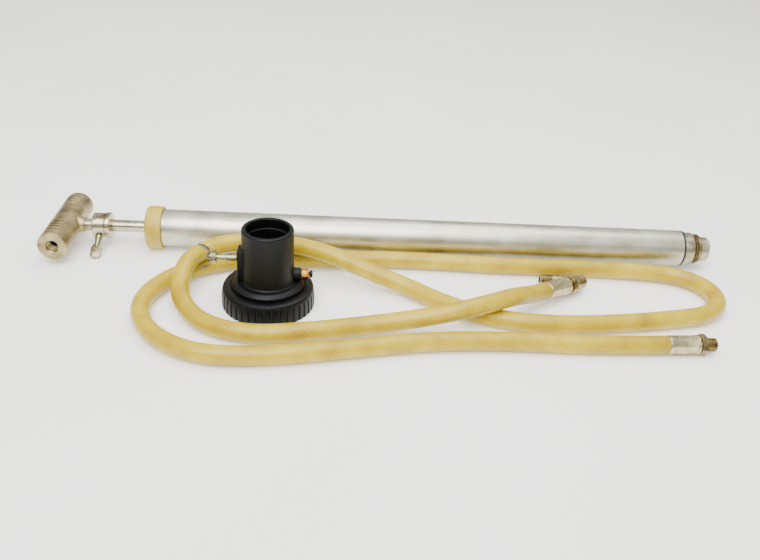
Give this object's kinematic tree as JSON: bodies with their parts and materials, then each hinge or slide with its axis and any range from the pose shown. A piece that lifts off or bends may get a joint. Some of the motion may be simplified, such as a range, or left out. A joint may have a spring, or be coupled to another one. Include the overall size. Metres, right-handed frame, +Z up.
{
  "type": "hand transfer pump",
  "caption": "Piston transfer pump with hollow rod and cross handle, clamp-on drum adapter with grip ring, braided hose with crimped end fittings and a loose nipple.",
  "frame": {"origin": "on the table, under the middle of the pump and the adapter together, without the hose", "axes": "+X along the pump from the handle to the foot valve, +Y from the adapter towards the pump, +Z up"},
  "size_m": [0.718, 0.2752, 0.082],
  "materials": {
    "drawn_aluminium": "matt drawn tube",
    "cast_aluminium": "tumbled casting",
    "turned_aluminium": "turned",
    "plated_steel": "bright plated",
    "zinc_steel": "zinc plated",
    "stainless": "stainless, turned",
    "brass": "turned",
    "yellow_zinc": "yellow passivated",
    "nylon": "moulded, cream",
    "ptfe": "turned, white",
    "black_plastic": "moulded, satin black",
    "nitrile": "moulded",
    "pvc_hose": "clear yellow with braid"
  },
  "bodies": {
    "barrel": {"barrel_tube": "drawn_aluminium", "top_cap": "nylon", "guide_bush": "brass", "rod_oring": "nitrile", "rod_wiper": "nitrile", "foot_valve_body": "turned_aluminium", "foot_gasket": "nitrile", "foot_oring": "nitrile", "foot_ball_pin": "stainless", "foot_strainer": "stainless", "hose": "pvc_hose", "ferrule_a": "zinc_steel", "tail_a": "yellow_zinc", "sleeve_a": "yellow_zinc", "ferrule_b": "zinc_steel", "tail_b": "yellow_zinc"},
    "foot_ball": {"foot_ball": "stainless"},
    "seal": {"piston_seal": "nitrile"},
    "rod": {"rod_tube": "plated_steel", "t_handle": "cast_aluminium", "rod_bumper": "nitrile", "piston_body": "turned_aluminium", "wear_ring": "ptfe", "seal_retainer": "turned_aluminium", "piston_seat": "brass", "ball_stop_pin": "stainless"},
    "piston_ball": {"piston_ball": "stainless"},
    "collar": {"stop_collar": "plated_steel"},
    "thumb_pad": {"thumb_pad": "brass"},
    "thumb_screw": {"thumb_screw": "zinc_steel"},
    "adapter": {"adapter_body": "black_plastic", "barrel_oring": "nitrile", "retaining_flange": "black_plastic", "neck_gasket": "nitrile", "clamp_insert": "brass", "vent_fitting": "brass"},
    "ring_nut": {"ring_nut": "black_plastic"},
    "clamp_pad": {"clamp_pad": "brass"},
    "clamp_screw": {"clamp_stud": "zinc_steel", "clamp_lock_nut": "zinc_steel", "wing_nut": "zinc_steel"},
    "vent_sleeve": {"vent_sleeve": "black_plastic"},
    "nipple": {"adapter_nipple": "yellow_zinc"}
  },
  "joints": [
    {"name": "pump_stroke", "type": "slide", "parent": "barrel", "child": "seal", "axis": [-1, 0, 0], "range_m": [-0.018, 0.465]},
    {"name": "rod_turn", "type": "hinge", "parent": "seal", "child": "rod", "pos_m": [0, 0.05, 0.023], "axis": [1, 0, 0], "continuous": true},
    {"name": "foot_ball_lift", "type": "slide", "parent": "barrel", "child": "foot_ball", "axis": [-1, 0, 0], "range_m": [0, 0.0043]},
    {"name": "piston_ball_lift", "type": "slide", "parent": "rod", "child": "piston_ball", "axis": [-1, 0, 0], "range_m": [0, 0.0045]},
    {"name": "collar_slide", "type": "slide", "parent": "rod", "child": "collar", "axis": [1, 0, 0], "range_m": [-0.0085, 0.02]},
    {"name": "thumb_pad_press", "type": "slide", "parent": "collar", "child": "thumb_pad", "axis": [0, -0.866, -0.5], "range_m": [0, 0.002]},
    {"name": "thumb_screw_turn", "type": "hinge", "parent": "thumb_pad", "child": "thumb_screw", "pos_m": [-0.308, 0.05, 0.023], "axis": [0, -0.866, -0.5], "range_deg": [0, 720]},
    {"name": "adapter_lift", "type": "slide", "parent": "barrel", "child": "adapter", "axis": [0, 0, 1], "range_m": [0, 0.15]},
    {"name": "nut_turn", "type": "hinge", "parent": "adapter", "child": "ring_nut", "pos_m": [-0.1195, -0.0577, 0], "axis": [0, 0, 1], "continuous": true},
    {"name": "clamp_pad_press", "type": "slide", "parent": "adapter", "child": "clamp_pad", "axis": [1, 0, 0], "range_m": [-0.002, 0.002]},
    {"name": "clamp_screw_turn", "type": "hinge", "parent": "clamp_pad", "child": "clamp_screw", "pos_m": [-0.1595, -0.0577, 0.049], "axis": [-1, 0, 0], "range_deg": [-720, 720]},
    {"name": "vent_sleeve_press", "type": "slide", "parent": "adapter", "child": "vent_sleeve", "axis": [-0.9976, -0.0698, 0], "range_m": [0, 0.0012], "stiffness_N_per_m": 1500},
    {"name": "nipple_lift", "type": "slide", "parent": "barrel", "child": "nipple", "axis": [0, 0, 1], "range_m": [0, 0.1]}
  ],
  "couplings": [
    {"joint": "thumb_screw_turn", "follows": "thumb_pad_press", "rad_per_m": 6283.1},
    {"joint": "clamp_screw_turn", "follows": "clamp_pad_press", "rad_per_m": -6283.1}
  ]
}
